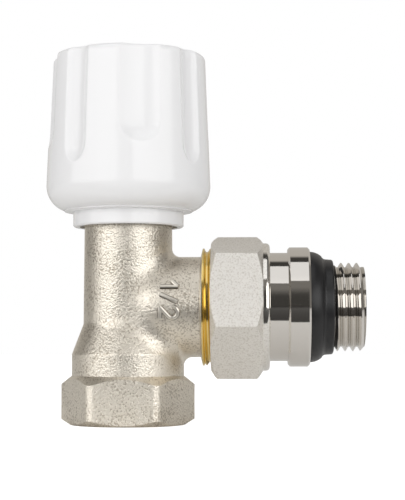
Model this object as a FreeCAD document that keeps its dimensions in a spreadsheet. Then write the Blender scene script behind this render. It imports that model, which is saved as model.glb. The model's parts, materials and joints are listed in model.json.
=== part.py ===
# Angle pattern manual radiator valve, half inch, as twenty separate pieces.
# Millimetres. The origin is the middle of the inlet mouth, +Z runs up the spindle,
# +X runs out along the radiator tail. The valve is drawn closed and made up.
import FreeCAD, Part
import math
import os
import Sketcher
from FreeCAD import Rotation, Vector

os.makedirs("parts", exist_ok=True)
doc = FreeCAD.newDocument("radiator_valve")
sheet = doc.addObject("Spreadsheet::Sheet", "Sizes")

SIZES = [
    # forged body
    ("inlet_hex_flats", 28, "inlet hexagon across the flats"),
    ("inlet_hex_top", 11.4, "height of the inlet hexagon"),
    ("inlet_hex_corner", 2.8, "rounding of the forged hexagon corners"),
    ("inlet_hex_land", 13.5, "radius of the flat ring around the inlet mouth"),
    ("inlet_thread_radius", 10.48, "half inch pipe thread, outside radius"),
    ("inlet_thread_depth", 13, "depth of the inlet thread"),
    ("bell_radius", 13.2, "round body above the hexagon"),
    ("bell_top", 16.4, "height where the bell starts to narrow"),
    ("bell_edge", 0.8, "rounding where bell, cone and neck meet"),
    ("neck_base", 23.5, "height where the neck starts"),
    ("neck_base_radius", 10.5, "neck radius at its foot"),
    ("neck_radius", 10.35, "neck radius at its top"),
    ("neck_top", 48, "top face of the neck"),
    ("outlet_height", 27.5, "outlet axis above the inlet mouth"),
    ("branch_root_radius", 10.2, "branch radius at the spindle axis"),
    ("branch_radius", 11.8, "branch radius where it is round"),
    ("branch_round_from", 9, "distance out where the branch is full size"),
    ("branch_end", 17.2, "distance out where the branch meets the thread"),
    ("union_thread_rise", 1.06, "union thread crest outside the tail barrel"),
    ("union_thread_depth", 0.8, "depth of the union thread"),
    ("union_thread_start", 17.7, "distance out where the union thread starts"),
    ("body_end", 25.5, "end face of the union thread"),
    ("branch_blend", 2, "fillet between branch and body"),
    ("passage_radius", 6, "water passage under the seat"),
    ("seat_height", 21, "height of the seat face"),
    ("seat_radius", 7.2, "outside radius of the seat ring"),
    ("chamber_floor", 19.5, "floor of the chamber round the seat"),
    ("chamber_radius", 8.5, "chamber radius"),
    ("bonnet_foot_room", 0.5, "room below the bonnet in its thread"),
    ("neck_bore_radius", 8.8, "bonnet thread bore"),
    ("nose_bore_start", 18, "distance out where the nose bore starts"),
    ("nose_bore_radius", 10.5, "bore that takes the tail nose"),
    # bonnet
    ("thread_gap", 0.05, "radial gap drawn at a made-up thread"),
    ("bonnet_foot", 36.5, "lower end of the bonnet"),
    ("bonnet_flange_radius", 10.2, "bonnet flange on the neck"),
    ("bonnet_flange_top", 49.5, "top of the bonnet flange"),
    ("bonnet_hex_flats", 18, "bonnet hexagon across the flats"),
    ("bonnet_hex_top", 55, "top of the bonnet hexagon"),
    ("gland_radius", 7, "gland above the bonnet hexagon"),
    ("gland_top", 60, "top of the gland"),
    ("guide_flats", 12, "plug hexagon across the flats"),
    ("guide_gap", 0.1, "gap on each flat of the sliding hexagon"),
    ("guide_top", 45.5, "top of the hexagon socket"),
    ("bonnet_seal_rise", 2.15, "bonnet seal above the foot of the bonnet"),
    ("bonnet_seal_wire", 0.52, "half thickness of the bonnet seal"),
    # spindle
    ("spindle_thread_radius", 3, "spindle thread radius"),
    ("spindle_foot", 34, "lower end of the spindle"),
    ("spindle_collar_radius", 5.3, "collar that holds the spindle down"),
    ("spindle_collar_foot", 45.7, "underside of the collar"),
    ("spindle_collar_top", 47.1, "top of the collar"),
    ("thrust_thickness", 0.45, "thrust washer thickness"),
    ("collar_room_top", 47.6, "roof of the collar room"),
    ("collar_room_radius", 5.6, "radius of the collar room"),
    ("shaft_radius", 4, "plain shaft"),
    ("running_gap", 0.05, "running gap round the shaft"),
    ("shaft_top", 62, "shoulder under the square"),
    ("square_side", 5.6, "drive square"),
    ("square_room", 2, "room above the drive square in the hub"),
    ("seal_lower_z", 51, "height of the lower shaft seal"),
    ("seal_upper_z", 55, "height of the upper shaft seal"),
    ("shaft_seal_wire", 0.53, "half thickness of a shaft seal"),
    ("circlip_foot", 60.1, "underside of the circlip"),
    ("circlip_thickness", 0.8, "circlip thickness"),
    ("circlip_radius", 5.2, "circlip outside radius"),
    ("circlip_groove_radius", 3.4, "circlip groove"),
    ("circlip_opening", 3, "opening of the circlip"),
    ("screw_hole_radius", 1.65, "tapped hole for the handwheel screw"),
    ("screw_hole_room", 1.5, "room below the handwheel screw"),
    # plug
    ("plug_gap", 0.05, "gap between washer and seat as drawn"),
    ("washer_thickness", 3, "seat washer thickness"),
    ("washer_radius", 7.4, "seat washer radius"),
    ("plug_disc_thickness", 3.2, "plug disc thickness"),
    ("plug_disc_radius", 7.9, "plug disc radius"),
    ("plug_top", 41, "top of the plug hexagon"),
    ("plug_bore_foot", 30.4, "foot of the plug thread"),
    ("washer_screw_radius", 2, "washer screw shank"),
    ("washer_screw_end", 28.8, "end of the washer screw"),
    ("washer_screw_head", 3.4, "washer screw head radius"),
    ("washer_screw_head_height", 2, "washer screw head height"),
    # handwheel
    ("collar_foot", 46.4, "lower edge of the handwheel collar"),
    ("collar_radius", 13.07, "handwheel collar radius"),
    ("collar_wall", 1.5, "handwheel collar wall"),
    ("carrier_flange_top", 51.6, "top of the carrier flange"),
    ("carrier_top", 64.5, "top of the carrier sleeve"),
    ("carrier_web", 2, "carrier web thickness"),
    ("hub_radius", 6, "carrier hub radius"),
    ("square_gap", 0.05, "gap on each side of the drive square"),
    ("grip_foot", 49.8, "underside of the grip"),
    ("grip_foot_radius", 15.2, "opening under the grip"),
    ("grip_belly_z", 56, "height of the widest place of the grip"),
    ("grip_belly_radius", 19.42, "widest radius of the grip"),
    ("grip_top_radius", 18.2, "grip radius at the top"),
    ("grip_top", 87.2, "top of the grip"),
    ("grip_top_edge", 1.5, "rounding of the top edge"),
    ("grip_foot_edge", 6, "rounding of the lower edge"),
    ("grip_fit", 0.05, "gap between grip and carrier flange"),
    ("grip_roof", 2.6, "thickness of the grip roof"),
    ("grip_cavity_top_radius", 14.6, "grip cavity radius at the roof"),
    ("grip_web", 1.6, "thickness of the web under the screw head"),
    ("well_radius", 4.3, "well for the screw"),
    ("well_depth", 11.6, "depth of the well below the top of the grip"),
    ("well_wall", 1.8, "wall round the well"),
    ("cap_radius", 4.9, "cap seat radius"),
    ("cap_thickness", 1.8, "cap thickness"),
    ("flute_count", 4, "flutes of each kind round the grip"),
    ("wide_flute_turn", 13, "turn of the wide flutes about the spindle, degrees"),
    ("wide_flute_radius", 11, "radius of the wide flute cutter"),
    ("wide_flute_depth", 1.75, "depth of the wide flutes"),
    ("wide_flute_foot", 64.3, "lower end of the wide flutes"),
    ("wide_flute_runout", 5, "length of the run-out of the wide flutes"),
    ("narrow_flute_turn", 54.5, "turn of the narrow flutes about the spindle, degrees"),
    ("narrow_flute_radius", 5.1, "radius of the narrow flute cutter"),
    ("narrow_flute_depth", 1.3, "depth of the narrow flutes"),
    ("narrow_flute_foot", 60, "lower end of the narrow flutes"),
    ("narrow_flute_runout", 4.5, "length of the run-out of the narrow flutes"),
    ("flute_edge", 0.8, "rounding of the flute edges"),
    ("screw_radius", 1.6, "handwheel screw shank"),
    ("screw_length", 11.6, "handwheel screw below its head"),
    ("screw_head_radius", 3.1, "handwheel screw head radius"),
    ("screw_head_height", 2.2, "handwheel screw head height"),
    ("slot_width", 0.8, "screw slot width"),
    ("slot_depth", 1, "screw slot depth"),
    # union nut
    ("nut_start", 19.7, "front face of the nut"),
    ("nut_hex_end", 31.8, "end of the nut hexagon"),
    ("nut_end", 33.4, "rear face of the nut"),
    ("nut_turn", 44, "corner of the nut above the near side, degrees"),
    ("nut_wall", 2.31, "round face of the nut outside the tail barrel"),
    ("nut_boss_edge", 0.9, "rounding of the nut boss"),
    ("nut_thread_gap", 0.06, "gap between the nut and the thread crest"),
    ("nut_thread_end", 27.5, "end of the nut thread"),
    ("nut_rear_gap", 0.16, "gap between the nut and the tail barrel"),
    ("ring_x", 30.5, "distance out of the retaining ring"),
    ("ring_wire", 0.7, "half thickness of the retaining ring"),
    ("ring_rise", 0.04, "centre line of the retaining ring outside the barrel"),
    ("ring_gap", 0.1, "play of the retaining ring"),
    ("ring_opening", 4, "opening of the retaining ring"),
    # tail
    ("tail_start", 19, "front end of the tail nose"),
    ("nose_radius", 10.42, "tail nose radius"),
    ("tail_gap", 0.05, "gap between tail shoulder and body"),
    ("barrel_radius", 12.74, "tail barrel radius"),
    ("tail_ring_start", 37.6, "front of the tail collar"),
    ("tail_ring_end", 42.7, "rear of the tail collar"),
    ("tail_ring_rise", 1.29, "height of the tail collar over the barrel"),
    ("tail_ring_edge", 0.45, "chamfer of the tail collar"),
    ("gasket_end", 48.2, "rear end of the gasket"),
    ("gasket_bore", 9.6, "gasket inside radius"),
    ("gasket_radius", 13, "gasket radius at the collar"),
    ("gasket_shoulder_long", 2.8, "length of the gasket shoulder"),
    ("gasket_shoulder_radius", 11.95, "gasket radius at the end of its shoulder"),
    ("gasket_shoulder_round", 4.2, "bend of the gasket shoulder"),
    ("gasket_neck_round", 1.2, "bend below the gasket shoulder"),
    ("gasket_waist_long", 1.87, "length of the straight end of the gasket"),
    ("gasket_waist_radius", 11.22, "radius of the straight end of the gasket"),
    ("gasket_lip_round", 0.55, "rounding of the gasket end"),
    ("tail_thread_start", 48.4, "front of the tail thread"),
    ("tail_thread_radius", 10.4, "tail thread crest radius"),
    ("tail_end", 55.4, "rear end of the tail"),
    ("tail_end_chamfer", 1, "chamfer at the end of the tail thread"),
    ("tail_bore", 6.4, "tail bore radius"),
    ("key_flats", 13, "key socket across the flats"),
    ("key_start", 41, "foot of the key socket"),
    ("nose_seal_x", 22, "distance out of the nose seal"),
    ("nose_seal_wire", 0.95, "half thickness of the nose seal"),
]

sheet.set("A1", "size")
sheet.set("B1", "value")
sheet.set("C1", "meaning")
for row, (alias, value, meaning) in enumerate(SIZES, start=2):
    sheet.set("A%d" % row, alias)
    sheet.set("B%d" % row, str(value))
    sheet.set("C%d" % row, meaning)
    sheet.setAlias("B%d" % row, alias)
doc.recompute()


class Size:
    """A size with its number now and the formula that ties a model to the sheet."""

    def __init__(self, number, formula):
        self.number = number
        self.formula = formula

    def join(self, sign, other, number):
        return Size(number, "(%s %s %s)" % (self.formula, sign, other.formula))

    def __add__(self, other):
        other = as_size(other)
        return self.join("+", other, self.number + other.number)

    def __sub__(self, other):
        other = as_size(other)
        return self.join("-", other, self.number - other.number)

    def __mul__(self, other):
        other = as_size(other)
        return self.join("*", other, self.number * other.number)

    def __truediv__(self, other):
        other = as_size(other)
        return self.join("/", other, self.number / other.number)

    def __neg__(self):
        return Size(-self.number, "(0 - %s)" % self.formula)

    def root(self):
        return Size(math.sqrt(self.number), "sqrt(%s)" % self.formula)


def as_size(value):
    """A plain number as a size; a size stays itself."""
    if isinstance(value, Size):
        return value
    return Size(float(value), "(%.9f)" % value)


NAMED = {alias: Size(float(value), "Sizes.%s" % alias) for alias, value, meaning in SIZES}


def at(alias):
    """The size with this name in the sheet."""
    return NAMED[alias]


def new_body(label, height=None, turn=None):
    """An empty body; height lifts it up Z and turn spins it about Z."""
    body = doc.addObject("PartDesign::Body", label)
    body.Label = label
    if height is not None:
        body.setExpression("Placement.Base.z", height.formula)
    if turn is not None:
        body.Placement = FreeCAD.Placement(Vector(0, 0, 0), Rotation(Vector(0, 0, 1), turn.number))
        body.setExpression("Placement.Rotation.Angle", turn.formula)
    return body


def origin_plane(body, role):
    """The origin plane of a body with this role."""
    for feature in body.Origin.OriginFeatures:
        if feature.Role == role:
            return feature
    raise ValueError("no origin plane " + role)


def new_sketch(body, name, role, offset=None):
    """A sketch on an origin plane of the body, lifted off it by offset."""
    sketch = body.newObject("Sketcher::SketchObject", name)
    sketch.AttachmentSupport = [(origin_plane(body, role), "")]
    sketch.MapMode = "FlatFace"
    if offset is not None:
        sketch.setExpression("AttachmentOffset.Base.z", offset.formula)
    return sketch


def pin_point(sketch, edge, end, place):
    """Tie one end of a sketch line to its two sizes."""
    for kind, size in zip(("DistanceX", "DistanceY"), place):
        size = as_size(size)
        index = sketch.addConstraint(Sketcher.Constraint(kind, -1, 1, edge, end, size.number))
        sketch.setExpression("Constraints[%d]" % index, size.formula)


def bend(start, end, radius, side=1):
    """An arc from start to end that keeps its middle on the left, or at side -1 on the right."""
    half = (end - start) * 0.5
    left = Vector(-half.y, half.x, 0).normalize() * side
    middle = start + half + left * math.sqrt(radius ** 2 - half.Length ** 2)
    return Part.Arc(start, middle - left * radius, end)


def outline(sketch, places):
    """A closed outline through places, tied to the sheet; a place with a third size starts an arc.

    A fourth value of -1 puts the middle of that arc on the right of the way along.
    """
    points = [Vector(as_size(place[0]).number, as_size(place[1]).number, 0) for place in places]
    count = len(points)
    ends = []
    for i, place in enumerate(places):
        start, end = points[i], points[(i + 1) % count]
        if len(place) > 2:
            edge = sketch.addGeometry(bend(start, end, place[2].number, *place[3:]), False)
            index = sketch.addConstraint(Sketcher.Constraint("Radius", edge, place[2].number))
            sketch.setExpression("Constraints[%d]" % index, place[2].formula)
        else:
            edge = sketch.addGeometry(Part.LineSegment(start, end), False)
        first = 1 if (sketch.getPoint(edge, 1) - start).Length < 0.0001 else 2
        ends.append((edge, first, 3 - first))
    for i, (edge, first, last) in enumerate(ends):
        following = ends[(i + 1) % count]
        sketch.addConstraint(Sketcher.Constraint("Coincident", edge, last, following[0], following[1]))
        pin_point(sketch, edge, first, places[i][:2])


def ring_outline(sketch, middle, radius):
    """A round section: a circle at middle with this radius."""
    x, y = (as_size(value) for value in middle)
    radius = as_size(radius)
    circle = Part.Circle(Vector(x.number, y.number, 0), Vector(0, 0, 1), radius.number)
    edge = sketch.addGeometry(circle, False)
    pin_point(sketch, edge, 3, middle)
    index = sketch.addConstraint(Sketcher.Constraint("Radius", edge, radius.number))
    sketch.setExpression("Constraints[%d]" % index, radius.formula)


def spin(body, kind, name, sketch, axis):
    """Turn a sketch a full turn about one of its axes."""
    feature = body.newObject("PartDesign::" + kind, name)
    feature.Profile = sketch
    feature.ReferenceAxis = (sketch, [axis])
    feature.Angle = 360
    sketch.Visibility = False
    return feature


def spun(body, name, places, axis="V_Axis", kind="Revolution"):
    """A turned shape, or a turned cut, from an outline on the XZ plane."""
    sketch = new_sketch(body, name + "_outline", "XZ_Plane")
    outline(sketch, places)
    return spin(body, kind, name, sketch, axis)


def turned(label, places):
    """A piece that is one outline turned about the spindle axis."""
    body = new_body(label)
    spun(body, label + "_turned", places)
    return body


def seal_ring(label, middle, wire, axis="V_Axis", height=None):
    """A round ring: a circle turned about an axis."""
    body = new_body(label, height)
    sketch = new_sketch(body, label + "_section", "XZ_Plane")
    ring_outline(sketch, middle, wire)
    spin(body, "Revolution", label + "_ring", sketch, axis)
    return body


def swing(turn):
    """Cosine and sine of a turn in degrees, tied to the sheet."""
    angle = math.radians(turn.number)
    return Size(math.cos(angle), "cos(%s)" % turn.formula), Size(math.sin(angle), "sin(%s)" % turn.formula)


def hexagon(flats, turn=0):
    """Corner places of a hexagon; at no turn the corners lie on the first axis."""
    corner = flats * (1 / math.sqrt(3))
    places = []
    for i in range(6):
        across, along = swing(as_size(turn) + 60 * i)
        places.append((corner * across, corner * along))
    return places


def square(side):
    """Corner places of a square about the middle."""
    half = side / 2
    return [(half, half), (-half, half), (-half, -half), (half, -half)]


def prism(body, name, role, places, start, length, kind="Pad", back=False):
    """A straight pad or pocket of an outline, from start along the plane's own normal."""
    sketch = new_sketch(body, name + "_outline", role, start)
    outline(sketch, places)
    feature = body.newObject("PartDesign::" + kind, name)
    feature.Profile = sketch
    feature.Length = as_size(length).number
    feature.setExpression("Length", as_size(length).formula)
    feature.Reversed = back
    sketch.Visibility = False
    return feature


def round_edges(body, name, base, edges, radius, kind="Fillet"):
    """Round or chamfer some edges of a feature."""
    feature = body.newObject("PartDesign::" + kind, name)
    feature.Base = (base, edges)
    field = "Radius" if kind == "Fillet" else "Size"
    setattr(feature, field, as_size(radius).number)
    feature.setExpression(field, as_size(radius).formula)
    body.Tip = feature
    return feature


def pick_edges(feature, wanted):
    """Names of the edges of a feature for which wanted(edge, faces) is true."""
    doc.recompute()
    shape = feature.Shape
    names = []
    for number, edge in enumerate(shape.Edges, start=1):
        if wanted(edge, shape.ancestorsOfType(edge, Part.Face)):
            names.append("Edge%d" % number)
    return names


def flat_ring_at(edge, alias):
    """True for a level edge at the height of a size."""
    box = edge.BoundBox
    return box.ZLength < 0.001 and abs(box.ZMin - at(alias).number) < 0.001 and box.XLength > 1


def face_axis(face):
    """The axis letter of a turned face, or an empty word for other faces."""
    axis = getattr(face.Surface, "Axis", None)
    if axis is None or isinstance(face.Surface, Part.Plane):
        return ""
    return max("xyz", key=lambda letter: abs(getattr(axis, letter)))


# The union sizes follow the tail barrel, so nut, thread and ring keep their play.
neck_bore_floor = at("bonnet_foot") - at("bonnet_foot_room")
union_crest = at("barrel_radius") + at("union_thread_rise")
union_root = union_crest - at("union_thread_depth")
nut_rear_bore = at("barrel_radius") + at("nut_rear_gap")
ring_radius = at("barrel_radius") + at("ring_rise")
tail_ring_radius = at("barrel_radius") + at("tail_ring_rise")
nut_face = at("barrel_radius") + at("nut_wall")
nut_flats = (nut_face - 0.05) * 2

# Forged body: hexagon, bell, neck, branch, then the bores.
body = new_body("valve_body")
hex_pad = prism(body, "inlet_hexagon", "XY_Plane", hexagon(at("inlet_hex_flats")), None, at("inlet_hex_top"))
upright = pick_edges(hex_pad, lambda edge, faces: abs(edge.tangentAt(edge.FirstParameter).z) > 0.99)
round_edges(body, "inlet_hexagon_corners", hex_pad, upright, at("inlet_hex_corner"))
wide = at("inlet_hex_flats")
land = at("inlet_hex_land")
spun(body, "inlet_hexagon_lower_chamfer", [
    (land, 0), (wide, 0), (wide, (wide - land) * 0.6),
], kind="Groove")
spun(body, "inlet_hexagon_upper_chamfer", [
    (at("bell_radius"), at("inlet_hex_top")),
    (wide, at("inlet_hex_top")),
    (wide, at("inlet_hex_top") - (wide - at("bell_radius")) * 0.8),
], kind="Groove")
bell = spun(body, "bell_and_neck", [
    (0, 2),
    (at("bell_radius"), 2),
    (at("bell_radius"), at("bell_top")),
    (at("neck_base_radius"), at("neck_base")),
    (at("neck_radius"), at("neck_top")),
    (0, at("neck_top")),
])
bends = pick_edges(bell, lambda edge, faces: flat_ring_at(edge, "bell_top") or flat_ring_at(edge, "neck_base"))
round_edges(body, "bell_bends", bell, bends, at("bell_edge"))


def along_outlet(name, places, kind):
    """A turned shape or cut about the outlet axis; places are distance out and radius."""
    sketch = new_sketch(body, name + "_outline", "XZ_Plane")
    axis_z = at("outlet_height")
    start = Vector(places[0][0].number, axis_z.number, 0)
    end = Vector(places[-1][0].number, axis_z.number, 0)
    line = sketch.addGeometry(Part.LineSegment(start, end), True)
    pin_point(sketch, line, 1, (places[0][0], axis_z))
    pin_point(sketch, line, 2, (places[-1][0], axis_z))
    outline(sketch, [(place[0], axis_z + place[1]) + tuple(place[2:]) for place in places])
    return spin(body, kind, name, sketch, "Axis0")


nothing = as_size(0)
# Two equal arcs lead the branch from the neck to its full size without a ridge.
swell_run = at("branch_round_from")
swell = at("branch_radius") - at("branch_root_radius")
swell_radius = (swell_run * swell_run + swell * swell) / (swell * 4)
branch = along_outlet("branch", [
    (nothing, nothing),
    (nothing, at("branch_root_radius"), swell_radius),
    (swell_run * 0.5, at("branch_root_radius") + swell * 0.5, swell_radius, -1),
    (swell_run, at("branch_radius")),
    (at("branch_end"), at("branch_radius")),
    (at("union_thread_start"), union_crest),
    (at("union_thread_start") + 0.35, union_crest),
    (at("union_thread_start") + 0.7, union_root),
    (at("body_end"), union_root),
    (at("body_end"), nothing),
], "Revolution")
meeting = pick_edges(branch, lambda edge, faces: {face_axis(face) for face in faces} == {"x", "z"})
round_edges(body, "branch_blend", branch, meeting, at("branch_blend"))
spun(body, "inlet_and_chamber", [
    (0, 0),
    (at("inlet_thread_radius"), 0),
    (at("inlet_thread_radius"), at("inlet_thread_depth")),
    (at("passage_radius"), at("inlet_thread_depth")),
    (at("passage_radius"), at("seat_height")),
    (at("seat_radius"), at("seat_height")),
    (at("seat_radius") + 0.4, at("chamber_floor")),
    (at("chamber_radius"), at("chamber_floor")),
    (at("chamber_radius"), neck_bore_floor),
    (at("neck_bore_radius"), neck_bore_floor),
    (at("neck_bore_radius"), at("neck_top")),
    (0, at("neck_top")),
], kind="Groove")
along_outlet("outlet_bore", [
    (nothing, nothing),
    (nothing, at("passage_radius")),
    (at("chamber_radius"), at("passage_radius")),
    (at("nose_bore_start"), at("passage_radius") + 2.4),
    (at("nose_bore_start"), at("nose_bore_radius")),
    (at("body_end"), at("nose_bore_radius")),
    (at("body_end"), nothing),
], "Groove")

# Bonnet: threaded skirt, flange, hexagon, gland, with a hexagon socket below.
bonnet = new_body("bonnet")
bonnet_seal_z = at("bonnet_foot") + at("bonnet_seal_rise")
skirt = at("neck_bore_radius") - at("thread_gap")
shaft_bore = at("shaft_radius") + at("running_gap")
seal_floor = at("neck_bore_radius") - at("bonnet_seal_wire") * 2
seal_half = at("bonnet_seal_wire") * 1.25
spun(bonnet, "bonnet_turned", [
    (at("collar_room_radius"), at("bonnet_foot")),
    (skirt, at("bonnet_foot")),
    (skirt, bonnet_seal_z - seal_half),
    (seal_floor, bonnet_seal_z - seal_half),
    (seal_floor, bonnet_seal_z + seal_half),
    (skirt, bonnet_seal_z + seal_half),
    (skirt, at("neck_top")),
    (at("bonnet_flange_radius"), at("neck_top")),
    (at("bonnet_flange_radius"), at("bonnet_flange_top")),
    (at("gland_radius"), at("bonnet_flange_top")),
    (at("gland_radius"), at("gland_top")),
    (shaft_bore, at("gland_top")),
    (shaft_bore, at("collar_room_top")),
    (at("collar_room_radius"), at("collar_room_top")),
])
guide = at("guide_flats") + at("guide_gap") * 2
prism(bonnet, "guide_socket", "XY_Plane", hexagon(guide), at("bonnet_foot"),
      at("guide_top") - at("bonnet_foot"), kind="Pocket", back=True)
bonnet_hex = prism(bonnet, "bonnet_hexagon", "XY_Plane", hexagon(at("bonnet_hex_flats")),
                   at("bonnet_flange_top"), at("bonnet_hex_top") - at("bonnet_flange_top"))
hex_wide = at("bonnet_hex_flats")
spun(bonnet, "bonnet_hexagon_chamfer", [
    (hex_wide * 0.49, at("bonnet_hex_top")),
    (hex_wide, at("bonnet_hex_top")),
    (hex_wide, at("bonnet_hex_top") - hex_wide * 0.28),
], kind="Groove")
spun(bonnet, "shaft_bore_again", [
    (0, at("collar_room_top")),
    (shaft_bore, at("collar_room_top")),
    (shaft_bore, at("gland_top")),
    (0, at("gland_top")),
], kind="Groove")
seal_ring("bonnet_o_ring", (seal_floor + at("bonnet_seal_wire"), bonnet_seal_z), at("bonnet_seal_wire"))

# Spindle: thread, collar, shaft with two seal grooves and a circlip groove, square.
spindle = new_body("spindle")
grip_web_top = at("grip_top") - at("well_depth")
hub_top = grip_web_top - at("grip_web")
square_top = hub_top - at("square_room")
screw_end = grip_web_top - at("screw_length")
screw_hole_foot = screw_end - at("screw_hole_room")
wire = at("shaft_seal_wire")
seal_room = wire * 1.3
groove_floor = at("shaft_radius") + at("running_gap") - 0.02 - wire * 2
circlip_top = at("circlip_foot") + at("circlip_thickness")
spun(spindle, "spindle_turned", [
    (0, at("spindle_foot")),
    (at("spindle_thread_radius") - 0.5, at("spindle_foot")),
    (at("spindle_thread_radius"), at("spindle_foot") + 0.5),
    (at("spindle_thread_radius"), at("spindle_collar_foot")),
    (at("spindle_collar_radius"), at("spindle_collar_foot")),
    (at("spindle_collar_radius"), at("spindle_collar_top")),
    (at("shaft_radius"), at("spindle_collar_top")),
    (at("shaft_radius"), at("seal_lower_z") - seal_room),
    (groove_floor, at("seal_lower_z") - seal_room),
    (groove_floor, at("seal_lower_z") + seal_room),
    (at("shaft_radius"), at("seal_lower_z") + seal_room),
    (at("shaft_radius"), at("seal_upper_z") - seal_room),
    (groove_floor, at("seal_upper_z") - seal_room),
    (groove_floor, at("seal_upper_z") + seal_room),
    (at("shaft_radius"), at("seal_upper_z") + seal_room),
    (at("shaft_radius"), at("circlip_foot")),
    (at("circlip_groove_radius"), at("circlip_foot")),
    (at("circlip_groove_radius"), circlip_top),
    (at("shaft_radius"), circlip_top),
    (at("shaft_radius"), at("shaft_top")),
    (0, at("shaft_top")),
])
prism(spindle, "drive_square", "XY_Plane", square(at("square_side")), at("shaft_top"),
      square_top - at("shaft_top"))
spun(spindle, "screw_hole", [
    (0, screw_hole_foot),
    (at("screw_hole_radius"), screw_hole_foot),
    (at("screw_hole_radius"), square_top),
    (0, square_top),
], kind="Groove")
for seal_name, seal_z in (("spindle_o_ring_lower", "seal_lower_z"), ("spindle_o_ring_upper", "seal_upper_z")):
    seal_ring(seal_name, (groove_floor + wire, at(seal_z)), wire)
turned("thrust_washer", [
    (at("shaft_radius"), at("spindle_collar_top")),
    (at("spindle_collar_radius"), at("spindle_collar_top")),
    (at("spindle_collar_radius"), at("spindle_collar_top") + at("thrust_thickness")),
    (at("shaft_radius"), at("spindle_collar_top") + at("thrust_thickness")),
])
circlip = turned("spindle_circlip", [
    (at("circlip_groove_radius"), at("circlip_foot")),
    (at("circlip_radius"), at("circlip_foot")),
    (at("circlip_radius"), circlip_top),
    (at("circlip_groove_radius"), circlip_top),
])
opening = at("circlip_opening") / 2
prism(circlip, "circlip_gap", "XY_Plane", [
    (0, opening), (-at("circlip_radius") * 2, opening),
    (-at("circlip_radius") * 2, -opening), (0, -opening),
], circlip_top, at("circlip_thickness"), kind="Pocket")

# Plug: a sliding hexagon with a disc that carries the seat washer and its screw.
washer_foot = at("seat_height") + at("plug_gap")
plug_foot = washer_foot + at("washer_thickness")
disc_top = plug_foot + at("plug_disc_thickness")
plug = turned("plug", [
    (0, plug_foot),
    (at("plug_disc_radius"), plug_foot),
    (at("plug_disc_radius"), disc_top - 0.6),
    (at("plug_disc_radius") - 0.6, disc_top),
    (0, disc_top),
])
prism(plug, "plug_hexagon", "XY_Plane", hexagon(at("guide_flats")), disc_top, at("plug_top") - disc_top)
spun(plug, "plug_thread", [
    (0, at("plug_bore_foot")),
    (at("spindle_thread_radius") + at("thread_gap"), at("plug_bore_foot")),
    (at("spindle_thread_radius") + at("thread_gap"), at("plug_top")),
    (0, at("plug_top")),
], kind="Groove")
spun(plug, "washer_screw_hole", [
    (0, plug_foot),
    (at("washer_screw_radius") + at("thread_gap"), plug_foot),
    (at("washer_screw_radius") + at("thread_gap"), at("washer_screw_end") + 0.2),
    (0, at("washer_screw_end") + 0.2),
], kind="Groove")
turned("seat_washer", [
    (at("washer_screw_radius") + at("thread_gap"), washer_foot),
    (at("washer_radius"), washer_foot),
    (at("washer_radius"), plug_foot),
    (at("washer_screw_radius") + at("thread_gap"), plug_foot),
])
head_foot = washer_foot - at("washer_screw_head_height")
washer_screw = turned("washer_screw", [
    (0, head_foot),
    (at("washer_screw_head") - 0.5, head_foot),
    (at("washer_screw_head"), head_foot + 0.5),
    (at("washer_screw_head"), washer_foot),
    (at("washer_screw_radius"), washer_foot),
    (at("washer_screw_radius"), at("washer_screw_end")),
    (0, at("washer_screw_end")),
])


def slot(body, name, role_start, reach, back):
    """A straight driver slot across a screw head."""
    half = at("slot_width") / 2
    prism(body, name, "XY_Plane", [(reach, half), (-reach, half), (-reach, -half), (reach, -half)],
          role_start, at("slot_depth"), kind="Pocket", back=back)


slot(washer_screw, "washer_screw_slot", head_foot, at("washer_screw_head") * 1.2, True)

# Handwheel: the carrier with its collar and hub, the fluted grip, screw and cap.
sleeve_bore = at("collar_radius") - at("collar_wall")
web_foot = at("carrier_top") - at("carrier_web")
flange = at("grip_foot_radius") - at("grip_fit")
carrier = turned("handwheel_carrier", [
    (0, at("shaft_top")),
    (at("hub_radius"), at("shaft_top")),
    (at("hub_radius"), web_foot),
    (sleeve_bore, web_foot),
    (sleeve_bore, at("collar_foot")),
    (at("collar_radius") - 0.3, at("collar_foot")),
    (at("collar_radius"), at("collar_foot") + 0.3),
    (at("collar_radius"), at("grip_foot")),
    (flange, at("grip_foot") + 0.25),
    (flange, at("carrier_flange_top")),
    (at("collar_radius"), at("carrier_flange_top")),
    (at("collar_radius"), at("carrier_top")),
    (at("hub_radius"), at("carrier_top")),
    (at("hub_radius"), hub_top),
    (0, hub_top),
])
prism(carrier, "square_socket", "XY_Plane", square(at("square_side") + at("square_gap") * 2), hub_top,
      hub_top - at("shaft_top"), kind="Pocket")

slope = (at("grip_belly_radius") - at("grip_top_radius")) / (at("grip_top") - at("grip_belly_z"))
lean = (slope * slope + 1).root()


def side_radius(height):
    """Grip radius at a height on the straight side."""
    return at("grip_belly_radius") - slope * (height - at("grip_belly_z"))


def side_arc(height, radius):
    """Middle and meeting place of an arc that runs into the straight side."""
    middle = side_radius(height) - radius * lean
    return middle, middle + radius / lean, height + radius * slope / lean


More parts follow.
